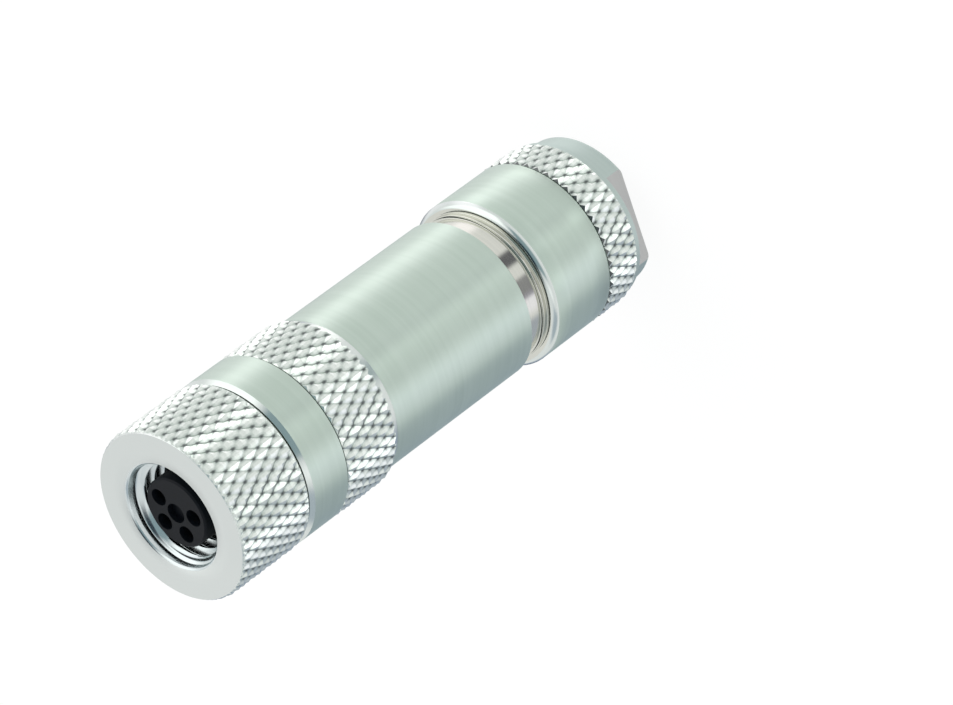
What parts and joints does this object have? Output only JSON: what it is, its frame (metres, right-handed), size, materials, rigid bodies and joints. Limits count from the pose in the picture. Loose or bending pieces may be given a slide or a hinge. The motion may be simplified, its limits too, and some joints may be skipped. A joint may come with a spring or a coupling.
{
  "type": "circular connector",
  "caption": "Straight female cable connector with a knurled screw coupling ring, recessed socket insert, metal shell and a screw cable clamp at the rear.",
  "frame": {"origin": "centre of the clamp nut's flat end face, where the cable leaves", "axes": "+Z along the connector's axis, from the cable end towards the socket that mates; +X and +Y across it, set by the picture's view"},
  "size_m": [0.0132, 0.0132, 0.0441],
  "materials": {
    "nickel_plated_brass": "nickel plated, satin turned",
    "nickel_plated_knurl": "nickel plated, diamond knurled",
    "insert_black": "moulded glass-filled plastic",
    "insulator_plastic": "moulded plastic",
    "gold_contact": "gold plated",
    "seal_rubber": "smooth moulded rubber",
    "spring_steel": "bright"
  },
  "bodies": {
    "shell": {"seal_washer": "spring_steel", "cable_seal": "seal_rubber", "rear_body": "nickel_plated_brass", "rear_sealing_ring": "seal_rubber", "shield_ring": "nickel_plated_brass", "body_sleeve": "nickel_plated_brass", "insulating_sleeve": "insulator_plastic", "front_body": "nickel_plated_brass", "front_sealing_ring": "seal_rubber", "nut_snap_ring": "spring_steel", "contact_insert": "insert_black", "face_seal": "seal_rubber", "insert_retainer": "nickel_plated_brass", "socket_contact_1": "gold_contact", "socket_contact_2": "gold_contact", "socket_contact_3": "gold_contact", "socket_contact_4": "gold_contact"},
    "coupling": {"coupling_nut": "nickel_plated_knurl"},
    "pinch": {"pinch_ring": "insulator_plastic"},
    "clamp": {"clamp_nut": "nickel_plated_knurl"}
  },
  "joints": [
    {"name": "coupling_turn", "type": "hinge", "parent": "shell", "child": "coupling", "pos_m": [0, 0, 0.0409], "axis": [0, 0, 1], "continuous": true},
    {"name": "pinch_slide", "type": "slide", "parent": "shell", "child": "pinch", "axis": [0, 0, -1], "range_m": [0, 0.00225]},
    {"name": "clamp_turn", "type": "hinge", "parent": "pinch", "child": "clamp", "pos_m": [0, 0, 0.0043], "axis": [0, 0, -1], "range_deg": [0, 1080]}
  ],
  "couplings": [
    {"joint": "clamp_turn", "follows": "pinch_slide", "rad_per_m": 8377.6}
  ]
}
